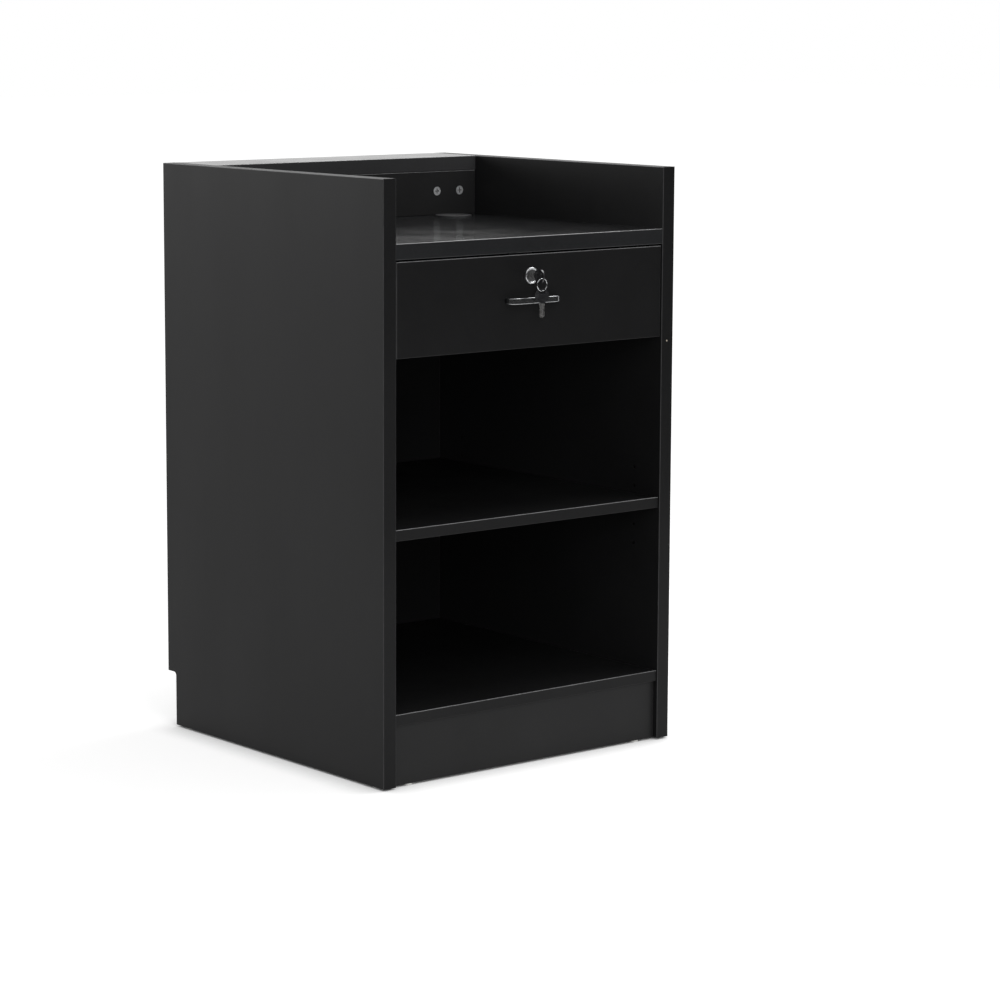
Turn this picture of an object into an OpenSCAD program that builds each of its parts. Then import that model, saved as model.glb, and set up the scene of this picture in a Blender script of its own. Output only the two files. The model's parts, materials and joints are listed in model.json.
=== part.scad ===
// Shop counter of black laminated board, seen from the staff side.
// Two side panels carry a sunken counter top, a raised ledge on the customer side, a locked drawer on
// ball runners, a loose middle shelf and a bottom shelf on a plinth.
// Millimetres. +X is to the right of the staff, +Y points to the customer, +Z is up, and the origin lies
// on the floor under the middle of the whole box, keys included.

/* [Carcass] */
// Width over both side panels
body_w = 600; // [500:10:900]
// Depth of the side panels, from the staff side to the customer side
body_d = 600; // [580:10:700]
// Height of the side panels, without the glides
panel_h = 950; // [930:10:1100]
// Thickness of the side panels, the counter top and the ledge
panel_t = 25; // [22:1:30]
// Thickness of the shelves, plinth, kick board, riser and customer panel
board_t = 18; // [16:1:20]
// Radius of the banded board edges
arris_r = 1.2; // [0.5:0.1:2]
// Height of the toe space on the customer side
toe_h = 91; // [60:1:95]
// Depth of the toe space
toe_d = 24; // [20:1:60]
// Radius in the inner corner of the toe space
toe_r = 6; // [3:1:12]

/* [Counter top and ledge] */
// Height of the ledge's face above the counter top's face
ledge_rise = 100; // [90:5:150]
// How far the counter top's edge lies behind the edges of the side panels
counter_recess = 1; // [0:0.5:5]
// Depth of the raised ledge
ledge_d = 116; // [100:1:160]
// How far the riser lies behind the ledge's edge
riser_recess = 1; // [0:0.5:5]
// How far the customer panel lies inside the edges of the side panels
customer_recess = 1; // [0.5:0.5:5]

/* [Shelves] */
// Height of the plinth, which carries the bottom shelf
plinth_h = 97; // [96:1:140]
// How far the plinth lies behind the edges of the side panels
plinth_recess = 9; // [5:1:40]
// Height of the middle shelf's underside above the foot of the side panels
middle_shelf_z = 389; // [300:1:500]
// How far both shelves lie behind the edges of the side panels
shelf_recess = 3; // [1:1:20]
// Play at each end of the loose middle shelf
shelf_play = 1; // [0.5:0.5:2]
// Diameter of the shelf pins
pin_d = 5; // [4:0.5:7]
// Distance between the shelf pin holes in a column
pin_pitch = 32; // [25:1:50]
// Spare pin holes above and below the one in use
pin_spares = 2; // [0:1:4]
// Distance of the pin columns from the middle shelf's front and back edges
pin_inset = 60; // [30:5:120]
// Length of a shelf pin that stands out of the side panel
pin_reach = 9; // [7:1:12]

/* [Drawer] */
// Height of the drawer front
drawer_front_h = 149; // [140:1:200]
// Gap between the drawer front and the counter top
drawer_gap_top = 3; // [1:0.5:6]
// Gap between the drawer front and each side panel
drawer_gap_side = 2; // [1:0.5:4]
// How far the drawer front lies behind the edges of the side panels
drawer_recess = 2; // [0:0.5:6]
// Height of the drawer's sides and back
drawer_box_h = 110; // [104:1:120]
// Height of the drawer sides above the drawer front's lower edge
drawer_box_lift = 12; // [6:1:20]
// Length of the drawer's sides
drawer_box_l = 456; // [455:1:500]
// Thickness of the drawer's sides and back
drawer_side_t = 12; // [12:1:16]
// Thickness of the drawer's bottom
drawer_bottom_t = 4; // [3:0.5:6]
// Height of the drawer bottom above the lower edge of the sides
drawer_bottom_lift = 9; // [7:1:12]
// Depth of the groove that holds the drawer bottom
groove_depth = 6; // [4:0.5:8]

/* [Runners] */
// Length of a runner
runner_l = 450; // [400:10:450]
// Height of a runner
runner_h = 36; // [34:1:45]
// Space between a side panel and the drawer for the runner
runner_space = 13; // [13:0.5:16]
// Thickness of the runner's steel
runner_sheet = 1.2; // [1:0.1:1.5]
// Diameter of the bearing balls
ball_d = 4.6; // [4:0.1:5]
// Length of the ball cage
cage_l = 120; // [80:10:160]
// Balls in one row
balls_in_row = 6; // [4:1:8]

/* [Handle] */
// Sideways place of the handle and the lock, from the drawer's middle
pull_x = -4; // [-10:1:10]
// Distance between the handle's screws
handle_centres = 96; // [64:16:128]
// Height of the handle's band
handle_h = 10; // [9:1:16]
// Thickness of the handle's band
handle_t = 4; // [3:0.5:5]
// How far the handle stands out of the drawer front
handle_reach = 17.5; // [17:0.5:18.5]
// Radius of the handle's bends, at the middle of the band
handle_bend_r = 14; // [10:0.5:14.5]
// Radius of the long edges of the handle's band
handle_edge_r = 1.4; // [0.5:0.1:1.8]
// Distance of the handle's middle below the drawer front's top edge
handle_drop = 72; // [60:1:90]

/* [Lock] */
// Distance of the lock's axis below the drawer front's top edge
lock_drop = 34; // [33:1:40]
// Diameter of the lock's head
lock_head_d = 26.5; // [24:0.5:30]
// Width of the raised rim round the head
lock_rim = 3.2; // [2.5:0.1:4]
// How far the head's rim stands out of the drawer front
lock_head_h = 3.5; // [3:0.1:5]
// Depth of the dish inside the rim
lock_dish = 1.2; // [0.5:0.1:1.5]
// Diameter of the threaded barrel
barrel_d = 19; // [18:0.5:20]
// Width across the barrel's two flats
barrel_flats = 16; // [16:0.5:17]
// Length of the barrel behind the drawer front's face
barrel_l = 28; // [26:0.5:32]
// Diameter of the turning plug
plug_d = 14; // [13:0.5:14.5]
// Width across the square on the plug's inner end
plug_square = 7; // [6:0.5:8]
// Reach of the tongue from the lock's axis
tongue_reach = 34; // [26:0.5:34]
// Width of the tongue
tongue_w = 16; // [12:1:18]
// Thickness of the tongue and of the strike
tongue_t = 2.5; // [2:0.5:3]
// Drop of the strike below the counter top
strike_drop = 20; // [14:1:21]
// Width of the strike
strike_w = 44; // [36:2:60]
// Depth of the strike's screwed leg
strike_leg = 22; // [18:1:30]

/* [Keys] */
// Diameter of a key's round bow
bow_d = 23; // [21:0.5:24]
// Thickness of a key's bow
bow_t = 2.7; // [2.5:0.1:3.2]
// Length of the key's metal outside the bow
blade_l = 23; // [20:1:24]
// Width of the blade
blade_w = 7.6; // [6:0.1:8]
// Thickness of the blade
blade_t = 2; // [1.6:0.1:2.2]
// Distance of the ring's plane from the drawer front
ring_reach = 27; // [27:0.5:30]
// Outer diameter of the split ring
ring_d = 21; // [20:0.5:26]
// Diameter of the ring's wire
wire_d = 1.2; // [1:0.1:1.4]
// Turn of the spare key about the vertical
spare_turn = 50; // [45:1:55]

/* [Cable grommet] */
// Diameter of the cable hole in the counter top
grommet_hole_d = 50; // [45:1:60]
// Diameter of the grommet's flange
grommet_flange_d = 63; // [62:1:72]
// Height of the grommet's flange
grommet_flange_h = 2.2; // [1.5:0.1:3]
// Distance of the grommet's axis from the right side panel
grommet_from_side = 80; // [50:1:120]
// Distance of the grommet's axis from the riser
grommet_from_riser = 40; // [38:1:80]
// Width of the cable notch in the grommet's cap
notch_w = 18; // [10:1:22]

/* [Fastenings] */
// Diameter of the cam fittings
cam_d = 15; // [12:0.5:16]
// Distance of a cam's axis from the joint that it pulls together
cam_inset = 34; // [24:1:40]
// Diameter of a cam bolt's shank
bolt_d = 6; // [5:0.5:7]
// Distance of the outer riser cams, which pull to the ledge, from the side panels
ledge_cam_inset = 84; // [60:1:140]
// Diameter of the wooden dowels
dowel_d = 8; // [6:1:10]
// Length of the dowels
dowel_l = 28; // [20:2:30]
// Diameter of a glide
glide_d = 16; // [12:1:18]
// Height of a glide
glide_h = 3; // [2:0.5:5]
// Distance of the plinth's glides from the side panels
glide_inset = 36; // [20:1:80]

/* [Hidden] */
$fn = 64;

// Clearances
board_play = 0.1; // round a pin, screw or dowel in its hole
running_play = 0.05; // radial, round the turning plug
part_gap = 0.3; // between pieces that move past each other
bore_end_gap = 1; // between the end of a pin, screw or dowel and the end of its hole
cut = 1; // how far a cutting shape runs past a face

// Colours
laminate = "#1f1f21";
edge_band = "#2b2b2d";
steel = "silver";
zinc = "#8f9296";
chrome = "#c9ccd1";
beech = "burlywood";
black_plastic = "#19191b";
pale_plastic = "gainsboro";
brass = "goldenrod";

// The two keys stand furthest out, so they set the box and with it the origin
key_overhang = bow_d / 2 * cos(spare_turn) + bow_t / 2 * sin(spare_turn);
front_reach = ring_reach + key_overhang - drawer_recess;
front_y = (front_reach - body_d) / 2;
back_y = front_y + body_d;

// Carcass
base_z = glide_h;
inner_w = body_w - 2 * panel_t;
inner_x = inner_w / 2;
top_z = base_z + panel_h;
toe_y = back_y - toe_d;
counter_top_z = top_z - ledge_rise;
counter_under_z = counter_top_z - panel_t;
ledge_under_z = top_z - panel_t;
riser_y = back_y - ledge_d + riser_recess;
customer_y = back_y - customer_recess - board_t;
bottom_shelf_z = base_z + plinth_h;
shelf_front_y = front_y + shelf_recess;
shelf_d = customer_y - shelf_front_y;
plinth_y = front_y + plinth_recess;
kick_y = toe_y - board_t;

// Loose middle shelf on its pins
loose_z = base_z + middle_shelf_z;
loose_d = shelf_d - 2 * shelf_play;
pin_ys = [shelf_front_y + pin_inset, shelf_front_y + loose_d - pin_inset];
pin_z = loose_z - pin_d / 2;
pin_depth = 8;
pin_collar_w = 1;
pin_collar_d = pin_d + 2 * pin_collar_w;
pin_collar_t = shelf_play - board_play;

// Cam fittings: one list for each board that holds cams. A fitting is the cam's place on the board's face,
// the turn of that face, the turn about its normal towards the mating board, and half the board's thickness
cam_front_inset = 80;
cam_back_inset = 100;
customer_cam_drop = 60;
cam_floor = 3.5;
cam_end_gap = 0.5;
cam_recess_depth = 2;
cam_recess_w = 1.6;
cam_recess_l = 9;
bolt_thread_d = 5;
bolt_thread_l = 11;
bolt_head_l = 2;
bolt_neck_d = 3.5;
bolt_neck_l = 4;
bolt_play = 0.5;
face_down = [180, 0, 0];
face_staff = [90, 0, 0];
cam_x = inner_x - cam_inset;
counter_cam_ys = [front_y + cam_front_inset, riser_y - cam_back_inset];
shelf_cam_ys = [front_y + cam_front_inset, customer_y - cam_back_inset];
riser_cam_z = ledge_under_z - cam_inset;
customer_cam_zs = [riser_cam_z, counter_under_z - customer_cam_drop];
counter_fittings = [for (y = counter_cam_ys, s = [0, 1])
    [[(1 - 2 * s) * cam_x, y, counter_under_z], face_down, 180 * s, panel_t / 2]];
shelf_fittings = [for (y = shelf_cam_ys, s = [0, 1])
    [[(1 - 2 * s) * cam_x, y, bottom_shelf_z], face_down, 180 * s, board_t / 2]];
riser_fittings = [for (s = [0, 1])
    [[(1 - 2 * s) * cam_x, riser_y, riser_cam_z], face_staff, 180 * s, board_t / 2]];
ledge_fittings = [for (s = [0, 1])
    [[(1 - 2 * s) * (inner_x - ledge_cam_inset), riser_y, riser_cam_z], face_staff, 90, board_t / 2]];
customer_fittings = [for (z = customer_cam_zs, s = [0, 1])
    [[(1 - 2 * s) * cam_x, customer_y, z], face_staff, 180 * s, board_t / 2]];
side_fittings = concat(counter_fittings, shelf_fittings, riser_fittings, customer_fittings);
carcass_fittings = concat(side_fittings, ledge_fittings);

// Dowels across the side joints, as [y, z], and upright ones, as [x, y, z]
dowel_from_cam = 45;
ledge_dowel_inset = 30;
riser_dowel_rise = 16;
low_dowel_inset = 25;
customer_dowel_low = 60;
customer_dowel_high = 100;
customer_dowel_gaps = 3;
dowel_hole_d = dowel_d + 2 * board_play;
dowel_hole_l = dowel_l + 2 * bore_end_gap;
customer_dowel_z = base_z + toe_h + customer_dowel_low;
customer_dowel_pitch = (counter_top_z - customer_dowel_high - customer_dowel_z) / customer_dowel_gaps;
counter_dowels = [for (y = [counter_cam_ys[0] + dowel_from_cam, counter_cam_ys[1] - dowel_from_cam])
    [y, counter_top_z - panel_t / 2]];
shelf_dowels = [for (y = [shelf_cam_ys[0] + dowel_from_cam, shelf_cam_ys[1] - dowel_from_cam])
    [y, bottom_shelf_z + board_t / 2]];
ledge_dowels = [for (y = [back_y - ledge_d + ledge_dowel_inset, back_y - ledge_dowel_inset])
    [y, top_z - panel_t / 2]];
riser_dowels = [[riser_y + board_t / 2, counter_top_z + riser_dowel_rise]];
low_dowel_zs = [base_z + low_dowel_inset, base_z + plinth_h - low_dowel_inset];
plinth_dowels = [for (z = low_dowel_zs) [plinth_y + board_t / 2, z]];
kick_dowels = [for (z = low_dowel_zs) [kick_y + board_t / 2, z]];
customer_dowels = [for (k = [0:customer_dowel_gaps])
    [customer_y + board_t / 2, customer_dowel_z + k * customer_dowel_pitch]];
side_dowels = concat(counter_dowels, ledge_dowels, riser_dowels, shelf_dowels, plinth_dowels,
                     kick_dowels, customer_dowels);
upright_xs = [-inner_x / 2, 0, inner_x / 2];
riser_foot_dowels = [for (x = upright_xs) [x, riser_y + board_t / 2, counter_top_z]];
customer_top_dowels = [for (x = upright_xs) [x, customer_y + board_t / 2, ledge_under_z]];

// Glides under the side panels, the plinth and the kick board
nail_d = 2;
nail_l = 12;
nail_floor = 1;
panel_glide_inset = 30;
panel_glide_ys = [front_y + panel_glide_inset, toe_y - panel_glide_inset];
panel_glides = [for (x = [-1, 1], y = panel_glide_ys) [x * (body_w - panel_t) / 2, y]];
plinth_glides = [for (x = [-1, 1]) [x * (inner_x - glide_inset), plinth_y + board_t / 2]];
kick_glides = [for (x = [-1, 1]) [x * (inner_x - glide_inset), kick_y + board_t / 2]];
all_glides = concat(panel_glides, plinth_glides, kick_glides);

// Cable grommet
grommet_x = inner_x - grommet_from_side;
grommet_y = riser_y - grommet_from_riser;
grommet_wall = 1.8;
grommet_sleeve_h = 20;
grommet_in_d = grommet_hole_d - 2 * board_play - 2 * grommet_wall;
grommet_step = 1.6;
cap_t = 2.5;
cap_d = grommet_in_d - 2 * part_gap;
notch_depth = 12;

// Drawer
drawer_y = front_y + drawer_recess;
drawer_back_face_y = drawer_y + board_t;
drawer_top_z = counter_under_z - drawer_gap_top;
drawer_low_z = drawer_top_z - drawer_front_h;
drawer_w = inner_w - 2 * drawer_gap_side;
box_w = inner_w - 2 * runner_space;
box_x = box_w / 2;
box_low_z = drawer_low_z + drawer_box_lift;
box_back_y = drawer_back_face_y + drawer_box_l;
bottom_z = box_low_z + drawer_bottom_lift;
groove_play = 0.2;
drawer_inner_x = box_x - drawer_side_t;
face_left = [0, -90, 0];
face_right = [0, 90, 0];
drawer_cam_y = drawer_back_face_y + cam_inset;
drawer_cam_spread = 30;
drawer_cam_zs = [for (v = [-1, 1]) box_low_z + drawer_box_h / 2 + v * drawer_cam_spread];
drawer_left_fittings = [for (z = drawer_cam_zs)
    [[-box_x, drawer_cam_y, z], face_left, -90, drawer_side_t / 2]];
drawer_right_fittings = [for (z = drawer_cam_zs)
    [[box_x, drawer_cam_y, z], face_right, -90, drawer_side_t / 2]];
drawer_fittings = concat(drawer_left_fittings, drawer_right_fittings);
back_screw_low = 26;
back_screw_high = 20;
back_screw_zs = [box_low_z + back_screw_low, box_low_z + drawer_box_h - back_screw_high];
back_screw_y = box_back_y - drawer_side_t / 2;
back_screw_d = 4;
back_screw_l = 40;
back_screw_head_d = 8;

// Runners. The section is drawn from a side panel's face at zero towards the drawer
runner_setback = 2;
runner_y = drawer_back_face_y + runner_setback;
runner_z = box_low_z + drawer_box_h / 2;
outer_lip_z = runner_h / 2 - runner_sheet;
outer_lip_reach = 9.4;
outer_curl = 0.9;
ball_z = outer_lip_z - part_gap - ball_d / 2;
ball_u = 5.8;
inner_flange_z = ball_z - ball_d / 2 - part_gap;
inner_flange_u = 3;
inner_web_u = runner_space - runner_sheet;
cage_sheet = 0.8;
cage_u = runner_sheet + 0.4;
cage_tab_u = 8.2;
cage_play = 0.15;
cage_y = runner_y + (runner_l - cage_l) / 2;
runner_screw_d = 3.5;
runner_screw_head_d = 5.9;
cabinet_screw_l = 14;
drawer_screw_l = 9;
runner_screw_inset = 35;
runner_screw_ys = [for (l = [runner_screw_inset, runner_l / 2, runner_l - runner_screw_inset]) runner_y + l];

// Handle: a flat band with a straight middle and two bends, and a solid foot round each screw
handle_z = drawer_top_z - handle_drop;
foot_beside_screw = 3.5;
handle_half = handle_centres / 2 + foot_beside_screw;
handle_depth = handle_reach - handle_t / 2;
handle_screw_xs = [for (s = [-1, 1]) pull_x + s * handle_centres / 2];
bend_x = handle_half - handle_bend_r;
leg_l = handle_depth - handle_bend_r;
foot_w = 10;
foot_l = 7.5;
foot_inset = 0.4;
handle_screw_d = 4;
handle_screw_bite = 6;
handle_screw_head_d = 8;
handle_screw_head_h = 2.6;

// Lock. Distances along the lock's axis are counted outwards from the drawer front's face
lock_z = drawer_top_z - lock_drop;
plug_face = lock_head_h - lock_dish;
plug_flange_w = 1.5;
plug_flange_d = plug_d + 2 * plug_flange_w;
plug_flange_t = 1.5;
keyway_l = 24;
keyway_play = 0.1;
tang_play = 0.2;
tang_l = tongue_t + tang_play;
tang_sink = 1;
nut_t = 4;
nut_flats = 24;
tongue_y = drawer_y + barrel_l + part_gap;
tongue_screw_d = 4;
tongue_screw_l = 6;
tongue_screw_head_d = 10;
tongue_screw_head_h = 2.4;
tongue_screw_slot_w = 1.2;
tongue_screw_slot_depth = 1;
tongue_corner_r = 3;
strike_gap = 1;
strike_y = tongue_y - strike_gap - tongue_t;
strike_screw_d = 3.5;
strike_screw_head_d = 7;
strike_screw_l = 16;
strike_screw_inset = 9;
strike_screw_xs = [for (s = [-1, 1]) pull_x + s * (strike_w / 2 - strike_screw_inset)];
strike_screw_y = strike_y + strike_leg - strike_screw_inset;

// Keys, drawn about the middle of the bow with the blade along +Y and the thickness along X
bow_slot_w = 9;
bow_slot_l = 5.4;
bow_rim = 2.4;
bow_slot_y = -(bow_d / 2 - bow_rim - bow_slot_l / 2);
bow_tang_l = 6;
bow_tang_w = 6;
blade_sink = 1;
collar_l = 3;
collar_w = 9;
tip_l = 3;
bitting_pitch = 2.6;
bitting_cuts = 5;
bitting_depth = 1.4;
key_y = drawer_y - ring_reach - bow_slot_y;
ring_y = drawer_y - ring_reach;
ring_r = (ring_d - wire_d) / 2;
coil_offset = wire_d * 0.4;
ring_slack = 0.2;
hang_gap = wire_d / 2 + coil_offset + ring_slack;
ring_pivot_z = lock_z - bow_slot_w / 2 + hang_gap;
ring_z = ring_pivot_z - ring_r;
spare_pivot_z = ring_z - ring_r;
// The wire climbs inside the turned slot, so the slot's upper end stands this much over it
spare_rise = 1.65;
spare_key_z = spare_pivot_z + spare_rise - bow_slot_l / 2 + bow_slot_y;

// A rectangle with round corners, its lower left corner at zero
module rounded_rect(w, h, r) {
  translate([r, 0]) square([w - 2 * r, h]);
  translate([0, r]) square([w, h - 2 * r]);
  for (x = [r, w - r], y = [r, h - r]) translate([x, y]) circle(r = r);
}

// Boards with banded edges, named by the axis of their thickness, lowest corner at zero
module board_x(t, d, h) {
  intersection() {
    linear_extrude(h) rounded_rect(t, d, arris_r);
    translate([0, d, 0]) rotate([90, 0, 0]) linear_extrude(d) rounded_rect(t, h, arris_r);
  }
}

module board_y(w, t, h) {
  intersection() {
    linear_extrude(h) rounded_rect(w, t, arris_r);
    rotate([90, 0, 90]) linear_extrude(w) rounded_rect(t, h, arris_r);
  }
}

module board_z(w, d, t) {
  intersection() {
    rotate([90, 0, 90]) linear_extrude(w) rounded_rect(d, t, arris_r);
    translate([0, d, 0]) rotate([90, 0, 0]) linear_extrude(d) rounded_rect(w, t, arris_r);
  }
}

// Round bars along X, centred on the joint between the side panels and the boards
module across_sides(places, d, l) {
  for (s = [-1, 1], p = places)
    translate([s * inner_x, p[0], p[1]]) rotate([0, 90, 0]) cylinder(d = d, h = l, center = true);
}

module upright(places, d, l) {
  for (p = places) translate(p) cylinder(d = d, h = l, center = true);
}

// Puts a fitting at each place: +Z leaves the board's face, +X runs to the mating board
module at_fittings(fittings) {
  for (f = fittings) {
    $half = f[3];
    translate(f[0]) rotate(f[1]) rotate([0, 0, f[2]]) children();
  }
}

module cam() {
  cam_h = $half + cam_floor;
  difference() {
    translate([0, 0, -cam_h]) cylinder(d = cam_d, h = cam_h);
    for (a = [0, 90]) rotate([0, 0, a])
      translate([-cam_recess_l / 2, -cam_recess_w / 2, -cam_recess_depth])
        cube([cam_recess_l, cam_recess_w, cam_recess_depth + cut]);
    translate([-bolt_head_l - bore_end_gap, 0, -$half]) rotate([0, 90, 0])
      cylinder(d = bolt_d + 2 * bolt_play, h = cam_d);
  }
}

module cam_bolt() {
  translate([0, 0, -$half]) rotate([0, 90, 0]) {
    translate([0, 0, -bolt_head_l]) cylinder(d = bolt_d, h = bolt_head_l);
    cylinder(d = bolt_neck_d, h = bolt_neck_l);
    translate([0, 0, bolt_neck_l]) cylinder(d = bolt_d, h = cam_inset - bolt_neck_l);
    translate([0, 0, cam_inset]) cylinder(d = bolt_thread_d, h = bolt_thread_l);
  }
}

// What a cam and its bolt need in their own board
module cam_bore() {
  bore_h = $half + cam_floor + cam_end_gap;
  translate([0, 0, -bore_h]) cylinder(d = cam_d + 2 * board_play, h = bore_h + cut);
  translate([0, 0, -$half]) rotate([0, 90, 0]) cylinder(d = bolt_d + 2 * bolt_play, h = cam_inset + cut);
}

// What the bolt needs in the mating board
module bolt_bore() {
  translate([cam_inset - cut, 0, -$half]) rotate([0, 90, 0])
    cylinder(d = bolt_thread_d + 2 * board_play, h = cut + bolt_thread_l + bore_end_gap);
}

// Countersunk screw and pointed shank: head's face at zero, shank along -Z
module wood_screw(d, l, head_d) {
  head_h = (head_d - d) / 2;
  point_h = d;
  difference() {
    union() {
      translate([0, 0, -head_h]) cylinder(d1 = d, d2 = head_d, h = head_h);
      translate([0, 0, -l + point_h]) cylinder(d = d, h = l - point_h);
      translate([0, 0, -l]) cylinder(d1 = d / 5, d2 = d, h = point_h);
    }
    for (a = [0, 90]) rotate([0, 0, a])
      translate([-head_d / 4, -0.4, -head_h * 0.6]) cube([head_d / 2, 0.8, head_h]);
  }
}

module wood_screw_bore(d, l) {
  translate([0, 0, -l - bore_end_gap]) cylinder(d = d + 2 * board_play, h = l + bore_end_gap + cut);
}

module countersink(d, head_d) {
  head_h = (head_d - d) / 2;
  translate([0, 0, -head_h]) cylinder(d1 = d + 2 * board_play, d2 = head_d + 2 * board_play, h = head_h);
}

// The nail's hole in the foot of a board
module nail_bores(places) {
  for (p = places) translate([p[0], p[1], base_z - cut])
    cylinder(d = nail_d + 2 * board_play, h = cut + nail_l + bore_end_gap);
}

// Where the screws of both runners stand on the side panels and on the drawer sides
module at_cabinet_screws() {
  for (s = [-1, 1], y = runner_screw_ys)
    translate([s * (inner_x - runner_sheet), y, runner_z]) rotate([0, -90 * s, 0]) children();
}

module at_drawer_screws() {
  for (s = [-1, 1], y = runner_screw_ys)
    translate([s * (box_x + runner_sheet), y, runner_z]) rotate([0, 90 * s, 0]) children();
}

module at_back_screws() {
  for (s = [-1, 1], z = back_screw_zs)
    translate([s * box_x, back_screw_y, z]) rotate([0, 90 * s, 0]) children();
}

module at_strike_screws() {
  for (x = strike_screw_xs)
    translate([x, strike_screw_y, counter_under_z - tongue_t]) rotate([180, 0, 0]) children();
}

module side_panel(s) {
  low_x = s < 0 ? -body_w / 2 : inner_x;
  color(laminate) difference() {
    translate([low_x, front_y, base_z]) board_x(panel_t, body_d, panel_h);
    translate([low_x - cut, toe_y, base_z - toe_r - cut]) rotate([90, 0, 90])
      linear_extrude(panel_t + 2 * cut) rounded_rect(toe_d + toe_r + cut, toe_h + toe_r + cut, toe_r);
    across_sides(side_dowels, dowel_hole_d, dowel_hole_l);
    at_fittings(side_fittings) bolt_bore();
    for (y = pin_ys, k = [-pin_spares:pin_spares])
      translate([s * inner_x, y, pin_z + k * pin_pitch]) rotate([0, 90, 0])
        cylinder(d = pin_d + 2 * board_play, h = 2 * (pin_depth + bore_end_gap), center = true);
    at_cabinet_screws() wood_screw_bore(runner_screw_d, cabinet_screw_l);
    nail_bores(panel_glides);
  }
}

module side_panel_left() {
  side_panel(-1);
}

module side_panel_right() {
  side_panel(1);
}

module counter_top() {
  color(laminate) difference() {
    translate([-inner_x, front_y + counter_recess, counter_under_z])
      board_z(inner_w, customer_y - front_y - counter_recess, panel_t);
    translate([grommet_x, grommet_y, counter_under_z - cut])
      cylinder(d = grommet_hole_d, h = panel_t + 2 * cut);
    across_sides(counter_dowels, dowel_hole_d, dowel_hole_l);
    upright(riser_foot_dowels, dowel_hole_d, dowel_hole_l);
    at_fittings(counter_fittings) cam_bore();
    at_strike_screws() wood_screw_bore(strike_screw_d, strike_screw_l);
  }
}

module ledge() {
  color(laminate) difference() {
    translate([-inner_x, back_y - ledge_d, ledge_under_z]) board_z(inner_w, ledge_d, panel_t);
    across_sides(ledge_dowels, dowel_hole_d, dowel_hole_l);
    upright(customer_top_dowels, dowel_hole_d, dowel_hole_l);
    at_fittings(ledge_fittings) bolt_bore();
  }
}

module riser() {
  color(laminate) difference() {
    translate([-inner_x, riser_y, counter_top_z])
      board_y(inner_w, board_t, ledge_under_z - counter_top_z);
    across_sides(riser_dowels, dowel_hole_d, dowel_hole_l);
    upright(riser_foot_dowels, dowel_hole_d, dowel_hole_l);
    at_fittings(riser_fittings) cam_bore();
    at_fittings(ledge_fittings) cam_bore();
  }
}

module customer_panel() {
  color(laminate) difference() {
    translate([-inner_x, customer_y, base_z + toe_h])
      board_y(inner_w, board_t, ledge_under_z - base_z - toe_h);
    across_sides(customer_dowels, dowel_hole_d, dowel_hole_l);
    upright(customer_top_dowels, dowel_hole_d, dowel_hole_l);
    at_fittings(customer_fittings) cam_bore();
  }
}

module kick_board() {
  color(laminate) difference() {
    translate([-inner_x, kick_y, base_z]) board_y(inner_w, board_t, plinth_h);
    across_sides(kick_dowels, dowel_hole_d, dowel_hole_l);
    nail_bores(kick_glides);
  }
}

module plinth() {
  color(edge_band) difference() {
    translate([-inner_x, plinth_y, base_z]) board_y(inner_w, board_t, plinth_h);
    across_sides(plinth_dowels, dowel_hole_d, dowel_hole_l);
    nail_bores(plinth_glides);
  }
}

module bottom_shelf() {
  color(laminate) difference() {
    translate([-inner_x, shelf_front_y, bottom_shelf_z]) board_z(inner_w, shelf_d, board_t);
    across_sides(shelf_dowels, dowel_hole_d, dowel_hole_l);
    at_fittings(shelf_fittings) cam_bore();
  }
}

module middle_shelf() {
  color(laminate) translate([-inner_x + shelf_play, shelf_front_y, loose_z])
    board_z(inner_w - 2 * shelf_play, loose_d, board_t);
}

module shelf_pins() {
  color(steel) for (s = [-1, 1], y = pin_ys) translate([s * inner_x, y, pin_z]) rotate([0, -90 * s, 0]) {
    translate([0, 0, -pin_depth]) cylinder(d = pin_d, h = pin_depth + pin_reach);
    cylinder(d = pin_collar_d, h = pin_collar_t);
  }
}

module cams() {
  color(zinc) at_fittings(carcass_fittings) cam();
}

module cam_bolts() {
  color(steel) at_fittings(carcass_fittings) cam_bolt();
}

module dowels() {
  color(beech) {
    across_sides(side_dowels, dowel_d, dowel_l);
    upright(riser_foot_dowels, dowel_d, dowel_l);
    upright(customer_top_dowels, dowel_d, dowel_l);
  }
}

// A disc with a rounded lower edge, which the nail holds to the board
module glides() {
  edge_r = glide_h / 3;
  color(pale_plastic) for (p = all_glides) translate([p[0], p[1], 0]) difference() {
    rotate_extrude() {
      square([glide_d / 2 - edge_r, glide_h]);
      translate([0, edge_r]) square([glide_d / 2, glide_h - edge_r]);
      translate([glide_d / 2 - edge_r, edge_r]) circle(r = edge_r);
    }
    translate([0, 0, nail_floor]) cylinder(d = nail_d + 2 * board_play, h = glide_h);
  }
}

module glide_nails() {
  color(steel) for (p = all_glides) translate([p[0], p[1], nail_floor])
    cylinder(d = nail_d, h = glide_h - nail_floor + nail_l);
}

// A flanged tube with a step inside that carries the cap
module grommet_sleeve() {
  edge_r = grommet_flange_h / 2;
  step_z = grommet_flange_h - cap_t - part_gap;
  color(black_plastic) translate([grommet_x, grommet_y, counter_top_z]) rotate_extrude() difference() {
    union() {
      translate([0, -grommet_sleeve_h])
        square([grommet_hole_d / 2 - board_play, grommet_sleeve_h + cut / 2]);
      square([grommet_flange_d / 2 - edge_r, grommet_flange_h]);
      translate([grommet_flange_d / 2 - edge_r, edge_r]) circle(r = edge_r);
      translate([grommet_flange_d / 2 - edge_r, 0]) square([edge_r, edge_r]);
    }
    translate([-cut, step_z]) square([cut + grommet_in_d / 2, cap_t + cut]);
    translate([-cut, -grommet_sleeve_h - cut])
      square([cut + grommet_in_d / 2 - grommet_step, grommet_sleeve_h + 2 * cut]);
  }
}

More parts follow.
